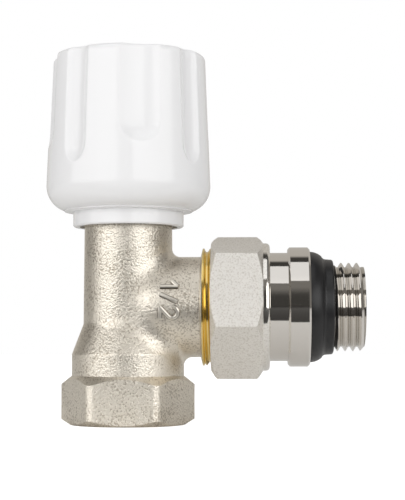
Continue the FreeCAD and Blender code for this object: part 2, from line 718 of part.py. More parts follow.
foot_round = at("grip_foot_edge")
foot_middle, belly_radius, belly_z = side_arc(at("grip_belly_z"), foot_round)
foot_reach = at("grip_foot_radius") - foot_middle
grip_low = at("grip_belly_z") - (foot_round * foot_round - foot_reach * foot_reach).root()
top_round = at("grip_top_edge")
rim_middle, rim_radius, rim_z = side_arc(at("grip_top") - top_round, top_round)
grip = new_body("handwheel_grip", turn=at("wide_flute_turn"))
cap_foot = at("grip_top") - at("cap_thickness")
roof = at("grip_top") - at("grip_roof")
well_outside = at("well_radius") + at("well_wall")
screw_room = at("screw_radius") + 0.3
spun(grip, "grip_turned", [
    (at("grip_foot_radius"), grip_low, foot_round),
    (belly_radius, belly_z),
    (rim_radius, rim_z, top_round),
    (rim_middle, at("grip_top")),
    (at("cap_radius"), at("grip_top")),
    (at("cap_radius"), cap_foot),
    (at("well_radius"), cap_foot),
    (at("well_radius"), grip_web_top),
    (screw_room, grip_web_top),
    (screw_room, hub_top),
    (well_outside, hub_top),
    (well_outside, roof),
    (at("grip_cavity_top_radius"), roof),
    (at("grip_foot_radius"), at("carrier_flange_top")),
])
over = at("grip_top") + 2


def spot(x, y):
    """A sketch point from two sizes."""
    return Vector(x.number, y.number, 0)


def runout_arc(start, end, along):
    """The arc from start that meets the straight flute at end, in line with it."""
    normal = Vector(-along.y, along.x, 0).normalize()
    chord = start - end
    if chord.dot(normal) < 0:
        normal = normal * -1
    radius = chord.Length ** 2 / (2 * chord.dot(normal))
    middle = end + normal * radius
    bulge = ((start + end) * 0.5 - middle).normalize() * radius + middle
    return Part.Arc(start, bulge, end)


def cut_flutes(kind, turn):
    """One kind of flute, cut by a round cutter along the side and repeated about the spindle."""
    foot, depth, cutter = at(kind + "_flute_foot"), at(kind + "_flute_depth"), at(kind + "_flute_radius")
    straight_from = foot + at(kind + "_flute_runout")
    low = side_radius(straight_from) - depth
    high = side_radius(over) - depth
    toe = side_radius(foot) + depth * 0.15
    axis_high = high + cutter
    axis_foot = side_radius(foot) - depth + cutter
    sketch = new_sketch(grip, kind + "_flute_outline", "XZ_Plane")
    if turn is not None:
        sketch.AttachmentOffset = FreeCAD.Placement(Vector(0, 0, 0), Rotation(Vector(0, 1, 0), turn.number))
        sketch.setExpression("AttachmentOffset.Rotation.Angle", turn.formula)
    foot_spot, low_spot, high_spot = spot(toe, foot), spot(low, straight_from), spot(high, over)
    axis_spots = spot(axis_foot, foot), spot(axis_high, over)
    sketch.addGeometry(Part.LineSegment(*axis_spots), True)
    sketch.addGeometry([
        Part.LineSegment(axis_spots[0], foot_spot),
        runout_arc(foot_spot, low_spot, high_spot - low_spot),
        Part.LineSegment(low_spot, high_spot),
        Part.LineSegment(high_spot, axis_spots[1]),
        Part.LineSegment(axis_spots[1], axis_spots[0]),
    ], False)
    ends = [(sketch.getPoint(2, end) - foot_spot).Length for end in (1, 2)]
    arc_foot = 1 if ends[0] < ends[1] else 2
    sketch.addConstraint([
        Sketcher.Constraint("Coincident", 1, 2, 2, arc_foot),
        Sketcher.Constraint("Tangent", 2, 3 - arc_foot, 3, 1),
        Sketcher.Constraint("Coincident", 3, 2, 4, 1),
        Sketcher.Constraint("Coincident", 4, 2, 5, 1),
        Sketcher.Constraint("Coincident", 5, 2, 1, 1),
        Sketcher.Constraint("Coincident", 0, 1, 1, 1),
        Sketcher.Constraint("Coincident", 0, 2, 5, 1),
    ])
    pin_point(sketch, 1, 1, (axis_foot, foot))
    pin_point(sketch, 1, 2, (toe, foot))
    pin_point(sketch, 3, 1, (low, straight_from))
    pin_point(sketch, 3, 2, (high, over))
    pin_point(sketch, 4, 2, (axis_high, over))
    flute = spin(grip, "Groove", kind + "_flute", sketch, "Axis0")
    pattern = grip.newObject("PartDesign::PolarPattern", kind + "_flutes")
    pattern.Originals = [flute]
    pattern.Axis = (sketch, ["V_Axis"])
    pattern.Angle = 360
    pattern.setExpression("Occurrences", at("flute_count").formula)
    grip.Tip = pattern
    return pattern


cut_flutes("wide", None)
pattern = cut_flutes("narrow", at("narrow_flute_turn") - at("wide_flute_turn"))


def off_axis(face):
    """True for a turned face whose axis is not the spindle axis."""
    middle = getattr(face.Surface, "Center", None)
    if middle is None or isinstance(face.Surface, Part.Plane):
        return False
    return math.hypot(middle.x, middle.y) > 1


def flute_edge(edge, faces):
    """True for an edge between a flute and the outside of the grip."""
    box = edge.BoundBox
    reach = math.hypot(box.Center.x, box.Center.y)
    return reach > 10 and sorted(off_axis(face) for face in faces) == [False, True]


round_edges(grip, "flute_edges", pattern, pick_edges(pattern, flute_edge), at("flute_edge"))
doc.recompute()

screw_head = grip_web_top + at("screw_head_height")
screw = turned("handwheel_screw", [
    (0, screw_end),
    (at("screw_radius") - 0.3, screw_end),
    (at("screw_radius"), screw_end + 0.3),
    (at("screw_radius"), grip_web_top),
    (at("screw_head_radius"), grip_web_top),
    (at("screw_head_radius"), screw_head - 0.5),
    (at("screw_head_radius") - 0.5, screw_head),
    (0, screw_head),
])
slot(screw, "screw_slot", screw_head, at("screw_head_radius") * 1.2, False)
turned("handwheel_cap", [
    (0, cap_foot),
    (at("cap_radius") - at("grip_fit"), cap_foot),
    (at("cap_radius") - at("grip_fit"), at("grip_top") - 0.2),
    (at("cap_radius") - at("grip_fit") - 0.2, at("grip_top")),
    (0, at("grip_top")),
])

# Tail side: every piece is turned about its own X axis and lifted to the outlet.
lift = at("outlet_height")
tail = new_body("tail_piece", height=lift)
shoulder = at("body_end") + at("tail_gap")
nose_wire = at("nose_seal_wire")
nose_room = nose_wire * 1.2
nose_floor = at("nose_bore_radius") - 0.03 - nose_wire * 2
ring_room = at("ring_wire") + at("ring_gap") * 0.2
ring_floor = ring_radius - at("ring_wire")
edge = at("tail_ring_edge")
tail_turned = spun(tail, "tail_turned", [
    (at("tail_start"), at("tail_bore")),
    (at("tail_start"), at("nose_radius") - 0.5),
    (at("tail_start") + 0.5, at("nose_radius")),
    (at("nose_seal_x") - nose_room, at("nose_radius")),
    (at("nose_seal_x") - nose_room, nose_floor),
    (at("nose_seal_x") + nose_room, nose_floor),
    (at("nose_seal_x") + nose_room, at("nose_radius")),
    (shoulder, at("nose_radius")),
    (shoulder, at("barrel_radius")),
    (at("ring_x") - ring_room, at("barrel_radius")),
    (at("ring_x") - ring_room, ring_floor),
    (at("ring_x") + ring_room, ring_floor),
    (at("ring_x") + ring_room, at("barrel_radius")),
    (at("tail_ring_start"), at("barrel_radius")),
    (at("tail_ring_start"), tail_ring_radius - edge),
    (at("tail_ring_start") + edge, tail_ring_radius),
    (at("tail_ring_end") - edge, tail_ring_radius),
    (at("tail_ring_end"), tail_ring_radius - edge),
    (at("tail_ring_end"), at("gasket_bore")),
    (at("tail_thread_start") - 0.1, at("gasket_bore")),
    (at("tail_thread_start") + 0.5, at("tail_thread_radius")),
    (at("tail_end") - at("tail_end_chamfer"), at("tail_thread_radius")),
    (at("tail_end"), at("tail_thread_radius") - at("tail_end_chamfer")),
    (at("tail_end"), at("tail_bore")),
], axis="H_Axis")
prism(tail, "key_socket", "YZ_Plane", hexagon(at("key_flats")), at("tail_end"),
      at("tail_end") - at("key_start"), kind="Pocket")
seal_ring("tail_o_ring", (at("nose_seal_x"), nose_floor + nose_wire), nose_wire, "H_Axis", lift)

gasket = new_body("tail_gasket", height=lift)
gasket_start = at("tail_ring_end")
gasket_long = at("gasket_end") - gasket_start
gasket_slope = gasket_start + at("gasket_shoulder_long")
gasket_waist = at("gasket_end") - at("gasket_waist_long")
gasket_outline = [
    (gasket_start, at("gasket_bore")),
    (gasket_start, at("gasket_radius"), at("gasket_shoulder_round"), -1),
    (gasket_slope, at("gasket_shoulder_radius"), at("gasket_neck_round")),
    (gasket_waist, at("gasket_waist_radius")),
    (at("gasket_end") - at("gasket_lip_round"), at("gasket_waist_radius") - 0.1, at("gasket_lip_round"), -1),
    (at("gasket_end"), at("gasket_waist_radius") - 0.1 - at("gasket_lip_round")),
    (at("gasket_end"), at("gasket_bore")),
]
spun(gasket, "gasket_turned", gasket_outline, axis="H_Axis")

ring = seal_ring("nut_retaining_ring", (at("ring_x"), ring_radius), at("ring_wire"), "H_Axis", lift)
ring_half = at("ring_opening") / 2
ring_reach = ring_radius + at("ring_wire") * 2
prism(ring, "ring_gap_cut", "XY_Plane", [
    (at("ring_x") - at("ring_wire") * 2, ring_half),
    (at("ring_x") + at("ring_wire") * 2, ring_half),
    (at("ring_x") + at("ring_wire") * 2, -ring_half),
    (at("ring_x") - at("ring_wire") * 2, -ring_half),
], None, ring_reach, kind="Pocket")

nut = new_body("union_nut", height=lift)
nut_places = hexagon(nut_flats, as_size(180) - at("nut_turn"))
prism(nut, "nut_hexagon", "YZ_Plane", nut_places, at("nut_start"), at("nut_hex_end") - at("nut_start"))
nut_wide = nut_flats
face = nut_face
chamfer_run = (nut_wide - face) * 0.62
spun(nut, "nut_front_chamfer", [
    (at("nut_start"), face), (at("nut_start"), nut_wide), (at("nut_start") + chamfer_run, nut_wide),
], axis="H_Axis", kind="Groove")
spun(nut, "nut_rear_chamfer", [
    (at("nut_hex_end"), face), (at("nut_hex_end"), nut_wide), (at("nut_hex_end") - chamfer_run, nut_wide),
], axis="H_Axis", kind="Groove")
boss_edge = at("nut_boss_edge")
nut_boss = spun(nut, "nut_boss", [
    (at("nut_hex_end") - 1, 0),
    (at("nut_hex_end") - 1, face - 0.05),
    (at("nut_end"), face - 0.05),
    (at("nut_end"), 0),
], axis="H_Axis")
boss_rim = pick_edges(nut_boss, lambda edge, faces: (
    abs(edge.BoundBox.XMin - at("nut_end").number) < 0.001 and edge.BoundBox.XLength < 0.001))
round_edges(nut, "nut_boss_round", nut_boss, boss_rim, boss_edge)
nut_bore = union_crest + at("nut_thread_gap")
ring_play = at("ring_wire") + at("ring_gap")
spun(nut, "nut_bore", [
    (at("nut_start"), 0),
    (at("nut_start"), nut_bore + 0.5),
    (at("nut_start") + 0.5, nut_bore),
    (at("nut_thread_end"), nut_bore),
    (at("nut_thread_end") + 0.6, nut_rear_bore),
    (at("ring_x") - ring_play, nut_rear_bore),
    (at("ring_x") - ring_play, ring_radius + ring_play),
    (at("ring_x") + ring_play, ring_radius + ring_play),
    (at("ring_x") + ring_play, nut_rear_bore),
    (at("nut_end"), nut_rear_bore),
    (at("nut_end"), 0),
], axis="H_Axis", kind="Groove")

doc.recompute()
total = 0.0
for piece in [thing for thing in doc.Objects if thing.TypeId == "PartDesign::Body"]:
    shape = piece.Shape
    if shape.isNull() or not shape.isValid() or len(shape.Solids) != 1:
        raise ValueError("bad shape: " + piece.Label)
    total += shape.Volume
    shape.exportStep("parts/%s.step" % piece.Label)
    box = shape.BoundBox
    print("%-22s volume %9.1f  X %.2f to %.2f  Y %.2f to %.2f  Z %.2f to %.2f" % (
        piece.Label, shape.Volume, box.XMin, box.XMax, box.YMin, box.YMax, box.ZMin, box.ZMax))
for thing in doc.Objects:
    if "Invalid" in thing.State or "Error" in thing.State:
        raise ValueError("bad object: " + thing.Name)
print("total volume %.0f cubic millimetres" % total)
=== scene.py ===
# %% [markdown]
# # A manual radiator valve, dressed for its photograph
# A radiator valve takes hot water from the pipe in its foot and lets it through a side branch
# into the radiator, as far as the white handwheel allows. Its solid parts were drawn to size
# before, and this script loads them. The valve could be modelled once more in Blender, but then
# two sets of shapes would have to agree for ever. So the solids keep their shape, and Blender
# adds what they leave plain: finishes, screw threads, the soft root of the branch, the raised size
# mark and a small studio. Lengths are written in millimetres and multiplied by MM where Blender
# needs metres.

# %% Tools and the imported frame
import json
import math

import bmesh
import bpy
from mathutils import Matrix, Vector
from mathutils.bvhtree import BVHTree


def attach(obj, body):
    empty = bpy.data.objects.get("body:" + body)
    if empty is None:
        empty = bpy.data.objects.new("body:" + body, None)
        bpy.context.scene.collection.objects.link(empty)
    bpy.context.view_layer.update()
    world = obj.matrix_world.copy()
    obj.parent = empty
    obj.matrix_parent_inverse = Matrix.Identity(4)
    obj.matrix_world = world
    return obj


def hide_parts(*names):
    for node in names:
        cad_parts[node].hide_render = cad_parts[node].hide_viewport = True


MM = 0.001
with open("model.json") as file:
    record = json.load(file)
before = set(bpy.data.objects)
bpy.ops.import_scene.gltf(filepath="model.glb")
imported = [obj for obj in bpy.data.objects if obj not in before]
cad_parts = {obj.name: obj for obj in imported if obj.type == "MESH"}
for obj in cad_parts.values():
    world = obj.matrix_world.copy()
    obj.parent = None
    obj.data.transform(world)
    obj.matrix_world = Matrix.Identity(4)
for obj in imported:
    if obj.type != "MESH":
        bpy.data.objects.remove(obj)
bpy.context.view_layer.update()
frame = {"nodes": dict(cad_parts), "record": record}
scene = bpy.context.scene
print("pieces in the frame:", len(frame["nodes"]))

# %% [markdown]
# ## Helpers for finishes
# In Blender a finish is a tree of shader nodes. It could be wired by hand in the shader editor,
# but a script can be read, repeated and changed in one place. The first helper adds a node and
# fills in its values by name. The second gives a socket a number, a colour or another node's
# output, so the same call serves for all of them. The third starts a finish with its shader.


# %% Nodes, sockets and a new finish
def add_node(tree, kind, place, **values):
    node = tree.nodes.new("ShaderNode" + kind)
    node.location = place
    for key, value in values.items():
        if hasattr(node, key):
            setattr(node, key, value)
        else:
            node.inputs[key.replace("_", " ")].default_value = value
    return node


def feed(tree, value, socket):
    if isinstance(value, bpy.types.NodeSocket):
        tree.links.new(value, socket)
    else:
        socket.default_value = value


def new_finish(name):
    finish = bpy.data.materials.new(name)
    finish.use_nodes = True
    return finish, finish.node_tree, finish.node_tree.nodes["Principled BSDF"]


print("helpers for finishes: 3")

# %% [markdown]
# ## Finishes that are the same all over
# The seals are nearly black rubber with a soft shine. The spindle, the plug and the screw threads
# are bare brass, the ring, the clip and the handwheel's screw are grey steel, and the slip washer
# is cream plastic. Each could have a picture wrapped round it. These surfaces are clean and even,
# so one colour and one roughness say it all. They are set on the shader's own sockets, because
# an export finds them there.


# %% Rubber, brass, steel, slip plastic
def plain_finish(name, colour, metallic, roughness):
    finish, _, shader = new_finish(name)
    shader.inputs["Base Color"].default_value = colour
    shader.inputs["Metallic"].default_value = metallic
    shader.inputs["Roughness"].default_value = roughness
    return finish


BRASS, BRASS_GLOSS = (0.93, 0.72, 0.29, 1), 0.17
NICKEL, NICKEL_GLOSS = (0.80, 0.77, 0.73, 1), 0.07
slip = plain_finish("slip_plastic", (0.82, 0.81, 0.78, 1), 0.0, 0.45)
rubber = plain_finish("black_rubber", (0.011, 0.011, 0.012, 1), 0.0, 0.36)
steel = plain_finish("spring_steel", (0.56, 0.56, 0.57, 1), 1.0, 0.3)
brass = plain_finish("bare_brass", BRASS, 1.0, BRASS_GLOSS)
polished = plain_finish("polished_nickel", NICKEL, 1.0, NICKEL_GLOSS)
print("plain finishes:", [finish.name for finish in (slip, rubber, steel, brass, polished)])

# %% [markdown]
# ## Helpers for finishes that change from place to place
# The other finishes differ from one end of a piece to the other. A picture could hold that, but it
# needs the surface unwrapped flat. Here every finish reads the position of the point instead,
# in the piece's own Object coordinates. One helper splits a position into its three steps, one
# maps a range onto another range, and one turns a number into a colour between two or more stops.


# %% Position, range and colour ramp
def position(tree, place):
    spot = add_node(tree, "TexCoord", place).outputs["Object"]
    split = add_node(tree, "SeparateXYZ", (place[0] + 200, place[1]))
    tree.links.new(spot, split.inputs[0])
    return spot, split.outputs["X"], split.outputs["Y"], split.outputs["Z"]


def change(tree, value, before, after, place, **settings):
    node = add_node(tree, "MapRange", place, **settings)
    node.inputs["From Min"].default_value, node.inputs["From Max"].default_value = before
    node.inputs["To Min"].default_value, node.inputs["To Max"].default_value = after
    tree.links.new(value, node.inputs["Value"])
    return node.outputs["Result"]


def ramp(tree, value, stops, place):
    node = add_node(tree, "ValToRGB", place)
    elements = node.color_ramp.elements
    elements[0].position, elements[0].color = stops[0]
    elements[1].position, elements[1].color = stops[-1]
    for stop, colour in stops[1:-1]:
        elements.new(stop).color = colour
    tree.links.new(value, node.inputs["Fac"])
    return node.outputs["Color"]


print("helpers for places: 3")

# %% [markdown]
# ## White plastic with a matt top
# The handwheel is moulded from white plastic. Its fluted side leaves the mould shiny, and its flat
# top has a matt skin, as many handwheels have, which keeps it from mirroring the lamps. Two
# materials would need the faces sorted into two heaps. One finish that reads the height of each
# point is simpler: its roughness rises at the rim, within less than half a millimetre.

# %% White plastic
WHITE = (0.86, 0.86, 0.87, 1)
SHINY, MATT = 0.14, 0.6
RIM = (86.7 * MM, 87.1 * MM)


def white_finish():
    finish, tree, shader = new_finish("white_plastic")
    *_, z = position(tree, (-600, 0))
    tree.links.new(change(tree, z, RIM, (SHINY, MATT), (-200, 0)), shader.inputs["Roughness"])
    shader.inputs["Base Color"].default_value = WHITE
    return finish


white = white_finish()
print("white plastic: roughness", SHINY, "on the side and", MATT, "on top")

# %% [markdown]
# ## Where the brass shows
# The body is forged from brass and plated with nickel. Its union thread and its inlet bore are
# cut after plating, so bare brass shows there. The faces could be picked by hand, but a mask
# worked out from the position fits any mesh. It is 1 beyond the shoulder of the branch and inside
# the bore, and 0 on the rest of the body.

# %% Sums, distance from an axis and the brass mask
SHOULDER, BORE_WALL, BORE_TOP = 17.72 * MM, 10.6 * MM, 13.5 * MM


def maths(tree, operation, first, second, place):
    node = add_node(tree, "Math", place, operation=operation)
    feed(tree, first, node.inputs[0])
    feed(tree, second, node.inputs[1])
    return node.outputs[0]


def distance(tree, first, second, place):
    """How far a point lies from an axis, from its two steps across that axis."""
    across = add_node(tree, "CombineXYZ", place)
    tree.links.new(first, across.inputs[0])
    tree.links.new(second, across.inputs[1])
    reach = add_node(tree, "VectorMath", (place[0] + 200, place[1]), operation="LENGTH")
    tree.links.new(across.outputs[0], reach.inputs[0])
    return reach.outputs["Value"]


def brass_mask(tree, x, y, z):
    thread = maths(tree, "GREATER_THAN", x, SHOULDER, (-1500, -200))
    reach = distance(tree, x, y, (-1500, -400))
    inside = maths(tree, "LESS_THAN", reach, BORE_WALL, (-1100, -400))
    low = maths(tree, "LESS_THAN", z, BORE_TOP, (-1100, -600))
    bore = maths(tree, "MULTIPLY", inside, low, (-900, -500))
    return maths(tree, "MAXIMUM", thread, bore, (-700, -300))


print("brass shows past x =", SHOULDER / MM, "mm and in the bore below", BORE_TOP / MM, "mm")

# %% [markdown]
# ## Blasted nickel
# Before plating, the forging is blasted with grit, which leaves a fine grain of bright and dark
# specks. A picture of such a skin would show its seams on a round body. A noise in space has no
# seams. One fine noise colours the specks and drives the bump as well, so that colour and light
# agree, and a coarse noise crowds the specks in some patches, as hand blasting does. A noise is
# built on a hidden lattice, which shows as rings where a surface lies along it. A Mapping node
# turns the lattice, so that no flat or cylinder of the valve lies along it.

# %% Noise, bump and blend
BUMP_DEPTH = 0.16 * MM
ASKEW = (0.6, 0.5, 0.8)
FINE, COARSE = (2.0, 0.6), (1.0, 0.5)


def noise(tree, spot, scale, grade, place):
    """A noise at a spot; grade gives its layers of detail and how strong the finer ones are."""
    detail, roughness = grade
    turned = add_node(tree, "Mapping", (place[0] - 200, place[1]), Rotation=ASKEW)
    tree.links.new(spot, turned.inputs["Vector"])
    node = add_node(tree, "TexNoise", place, Scale=scale, Detail=detail, Roughness=roughness)
    tree.links.new(turned.outputs["Vector"], node.inputs["Vector"])
    return node.outputs["Fac"]


def add_bump(tree, shader, height, strength, place):
    node = add_node(tree, "Bump", place, Distance=BUMP_DEPTH)
    tree.links.new(height, node.inputs["Height"])
    tree.links.new(strength, node.inputs["Strength"])
    tree.links.new(node.outputs["Normal"], shader.inputs["Normal"])


def blend(tree, kind, factor, first, second, place):
    node = add_node(tree, "Mix", place, data_type=kind)
    for name, value in (("Factor", factor), ("A", first), ("B", second)):
        feed(tree, value, node.inputs[name])
    return node.outputs["Result"]


print("bump depth:", BUMP_DEPTH / MM, "mm")

# %% Blasted nickel with brass threads
GRIT, PATCHES, CROWDING = 2300.0, 160.0, 0.07
PATCH_SPAN = (0.3, 0.7)
PIT, SKIN = (0.56, 0.50, 0.415, 1), (0.92, 0.86, 0.755, 1)
PIT_AT, SKIN_AT = 0.36, 0.47
BLASTED_GLOSS, BLASTED_BUMP = 0.31, 0.9
OFF_ON = (0.0, 1.0)


def blasted_finish():
    finish, tree, shader = new_finish("blasted_nickel")
    spot, x, y, z = position(tree, (-1900, 0))
    mask = brass_mask(tree, x, y, z)
    grain = noise(tree, spot, GRIT, FINE, (-1400, 300))
    patch = noise(tree, spot, PATCHES, COARSE, (-1400, 600))
    shift = change(tree, patch, PATCH_SPAN, (-CROWDING, CROWDING), (-1200, 600))
    dense = maths(tree, "ADD", grain, shift, (-1000, 450))
    specks = ramp(tree, dense, [(PIT_AT, PIT), (SKIN_AT, SKIN)], (-800, 300))
    tree.links.new(blend(tree, "RGBA", mask, specks, BRASS, (-400, 300)), shader.inputs["Base Color"])
    gloss = change(tree, mask, OFF_ON, (BLASTED_GLOSS, BRASS_GLOSS), (-400, 60))
    tree.links.new(gloss, shader.inputs["Roughness"])
    depth = change(tree, mask, OFF_ON, (BLASTED_BUMP, 0.0), (-400, -150))
    add_bump(tree, shader, grain, depth, (-200, -300))
    shader.inputs["Metallic"].default_value = 1.0
    return finish


blasted = blasted_finish()
print("blasted nickel nodes:", len(blasted.node_tree.nodes))

# %% [markdown]
# ## Satin nickel for the nut
# The union nut has six satin flats with a faint grain, and behind them a round boss that is
# polished. It could be two materials with a hard line between them. Here one finish reads the
# distance along the branch: past the end of the hexagon it turns smooth, and the bump of the
# grain fades out at the same place.

# %% Satin nickel with a polished boss
BOSS = (31.6 * MM, 31.9 * MM)
SATIN_GRAIN, SATIN_BUMP = 2600.0, 0.5
SATIN_GLOSS, BOSS_GLOSS = 0.55, 0.10
SATIN_PIT, SATIN_SKIN = (0.79, 0.755, 0.70, 1), (0.97, 0.945, 0.90, 1)
SATIN_STOPS = [(0.34, SATIN_PIT), (0.52, SATIN_SKIN)]


def satin_finish():
    finish, tree, shader = new_finish("satin_nickel")
    spot, x, *_ = position(tree, (-1100, 0))
    gloss = change(tree, x, BOSS, (SATIN_GLOSS, BOSS_GLOSS), (-400, 60))
    tree.links.new(gloss, shader.inputs["Roughness"])
    grain = noise(tree, spot, SATIN_GRAIN, FINE, (-900, 350))
    tree.links.new(ramp(tree, grain, SATIN_STOPS, (-600, 350)), shader.inputs["Base Color"])
    depth = change(tree, x, BOSS, (SATIN_BUMP, 0.0), (-400, -200))
    add_bump(tree, shader, grain, depth, (-200, -300))
    shader.inputs["Metallic"].default_value = 1.0
    return finish


satin = satin_finish()
print("satin nickel nodes:", len(satin.node_tree.nodes))

# %% [markdown]
# ## Polished nickel with painted shade in the thread roots
# The tail is polished and plated all over. The roots of its thread get painted shade, a darker
# colour where the real roots lie in shadow. It could be painted on by hand. The distance from the
# outlet's axis already tells a root from a crest, so a ramp over that distance paints the shade in
# the roots, and a limit along the axis keeps the rest of the tail bright.

# %% Polished nickel for the tail
OUTLET = 27.5
ROOT_TO_CREST = (9.0 * MM, 10.4 * MM)
THREAD_FROM = 48.0 * MM
# painted shade for the roots of the tail's thread
PAINTED_ROOT_SHADE = (0.52, 0.49, 0.44, 1)
THREAD_SHADE_STOPS = [(0.12, NICKEL), (0.22, PAINTED_ROOT_SHADE), (0.52, NICKEL)]


def tail_finish():
    finish, tree, shader = new_finish("threaded_nickel")
    _, x, y, z = position(tree, (-1300, 0))
    lift = maths(tree, "SUBTRACT", z, OUTLET * MM, (-900, -200))
    reach = distance(tree, y, lift, (-700, -100))
    depth = change(tree, reach, ROOT_TO_CREST, OFF_ON, (-300, -100))
    # painted shade: the ramp darkens the roots of the thread
    roots = ramp(tree, depth, THREAD_SHADE_STOPS, (-100, -100))
    far = maths(tree, "GREATER_THAN", x, THREAD_FROM, (-100, 200))
    tree.links.new(blend(tree, "RGBA", far, NICKEL, roots, (200, 100)), shader.inputs["Base Color"])
    shader.inputs["Metallic"].default_value = 1.0
    shader.inputs["Roughness"].default_value = NICKEL_GLOSS
    return finish


threaded = tail_finish()
print("tail finish nodes:", len(threaded.node_tree.nodes))

# %% [markdown]
# ## Rubbed nickel with painted shade at the foot of the size mark
# A raised mark is rubbed bright on its top, and its foot gets painted shade, a dark colour in the
# corner where it meets the branch. That could be a second, darker ring of faces. It is easier to let
# the mesh carry a number on every vertex, an attribute called rise, that says how high the vertex
# stands, and to read that number here.

# %% Rubbed nickel with painted shade at the foot
# painted shade at the foot of each stroke, nickel colour on its top
PAINTED_FOOT_SHADE, RUBBED = (0.20, 0.175, 0.14, 1), (0.90, 0.85, 0.76, 1)
MARK_SHADE_STOPS = [(0.55, PAINTED_FOOT_SHADE), (0.85, RUBBED)]
RUBBED_GLOSS = 0.34


def mark_finish():
    finish, tree, shader = new_finish("rubbed_nickel")
    rise = add_node(tree, "Attribute", (-600, 0), attribute_name="rise").outputs["Fac"]
    # painted shade: a low rise gets the dark foot colour
    tree.links.new(ramp(tree, rise, MARK_SHADE_STOPS, (-400, 0)), shader.inputs["Base Color"])
    shader.inputs["Metallic"].default_value = 1.0
    shader.inputs["Roughness"].default_value = RUBBED_GLOSS
    return finish


rubbed = mark_finish()
print("mark finish nodes:", len(rubbed.node_tree.nodes))

# %% [markdown]
# ## Finishes for the solid pieces
# Each solid piece names its finish in the record. They could be handed out one by one, but one
# loop over the record leaves none out, and a piece that is renamed there still gets its own.

# %% Hand out the finishes
FINISHES = {
    "blasted_nickel": blasted,
    "satin_nickel": satin,
    "polished_nickel": polished,
    "bare_brass": brass,
    "white_plastic": white,
    "slip_plastic": slip,
    "black_rubber": rubber,
    "spring_steel": steel,
}
slot_of = {part["node"]: part["material_slot"] for part in frame["record"]["subparts"]}
for name, node in frame["nodes"].items():
    node.data.materials.clear()
    node.data.materials.append(FINISHES[slot_of[name]])
print("finishes handed out to", len(slot_of), "pieces")

# %% [markdown]
# ## Screw threads
# A screw thread is a ridge that climbs round a cylinder. Blender's Screw modifier could draw it,
# and so could a long list of points. Here the spin operator does the work: a zigzag outline turns
# once about its axis and creeps forward by one pitch meanwhile, so each tooth runs into the next
# one. That is a true helix. Two cuts then trim the ends square, and the normals are worked out
# anew, because a spin can turn a sheet inside out.

# %% Helical thread builder
SEAM_WELD = 0.004 * MM
EARLY, SPARE_TURNS = 1.5, 2


def thread_outline(bm, start, end, pitch, tooth):
    """A chain of edges along X; tooth lists (part of a pitch, radius)."""
    first_tooth = start - EARLY * pitch
    points = []
    for turn in range(math.ceil((end - start) / pitch) + SPARE_TURNS):
        for part, radius in tooth:
            points.append((first_tooth + (turn + part) * pitch, 0, radius))
    verts = [bm.verts.new(Vector(point) * MM) for point in points]
    return [bm.edges.new(pair) for pair in zip(verts, verts[1:])]


def helix(start, end, pitch, tooth, steps=96):
    """A right-hand helical sheet about the X axis, trimmed between start and end."""
    bm = bmesh.new()
    edges = thread_outline(bm, start, end, pitch, tooth)
    bmesh.ops.spin(
        bm, geom=bm.verts[:] + edges, cent=(0, 0, 0), axis=(1, 0, 0),
        dvec=(pitch * MM / steps, 0, 0), angle=math.tau, steps=steps, use_merge=False,
    )
    bmesh.ops.remove_doubles(bm, verts=bm.verts[:], dist=SEAM_WELD)
    for place, side in ((start, -1), (end, 1)):
        bmesh.ops.bisect_plane(
            bm, geom=bm.verts[:] + bm.edges[:] + bm.faces[:], plane_co=(place * MM, 0, 0),
            plane_no=(side, 0, 0), clear_outer=True,
        )
    bmesh.ops.recalc_face_normals(bm, faces=bm.faces[:])
    return bm


print("thread builder ready")

# %% [markdown]
# ## From a worksheet to a piece
# A bmesh is only a worksheet. To become a piece of the valve it is written into a mesh, gets its
# finish, and is shaded smooth with sharp creases where its faces meet at more than 32 degrees.
# Then it is hung on the body that carries it, so it moves along. It could be parented by hand,
# but every new piece needs the same steps, so one helper takes them all.

# %% Piece maker
CREASE = math.radians(32)


def to_object(bm, name, finish, body):
    mesh = bpy.data.meshes.new(name)
    bm.to_mesh(mesh)
    bm.free()
    mesh.materials.append(finish)
    if mesh.has_custom_normals:
        mesh.attributes.remove(mesh.attributes["custom_normal"])
    mesh.shade_smooth()
    mesh.set_sharp_from_angle(angle=CREASE)
    piece = bpy.data.objects.new(name, mesh)
    scene.collection.objects.link(piece)
    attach(piece, body)
    return piece


print("piece maker ready, creases past", round(math.degrees(CREASE)), "degrees")

# %% [markdown]
# ## Union thread
# The union nut screws onto the end of the branch, on a fine brass thread with a pitch of one and a
# half millimetres. It could be cut into the body, but the solid already has a plain cylinder as
# deep as the roots. So a ridged sleeve round that cylinder is enough, and the body stays whole.

# %% Thread on the branch
UNION_PITCH, UNION_SPAN = 1.5, (17.9, 25.3)
UNION_TOOTH = [
    (0.0, 12.97), (0.12, 12.99), (0.42, 13.70), (0.47, 13.78),
    (0.53, 13.78), (0.58, 13.70), (0.88, 12.99),
]
bm = helix(*UNION_SPAN, UNION_PITCH, UNION_TOOTH)
bmesh.ops.translate(bm, verts=bm.verts[:], vec=(0, 0, OUTLET * MM))
union_thread = to_object(bm, "union_thread", brass, "valve")
print("union thread faces:", len(union_thread.data.polygons))

# %% [markdown]
# ## Inlet thread
# The pipe screws into the foot, so this thread points inwards: its roots lie on the wall of the
# bore, and its crests stand in the bore. Another builder isn't needed, because a tooth that gets
# smaller instead of larger gives the right shape. It is made along X and then turned upright.

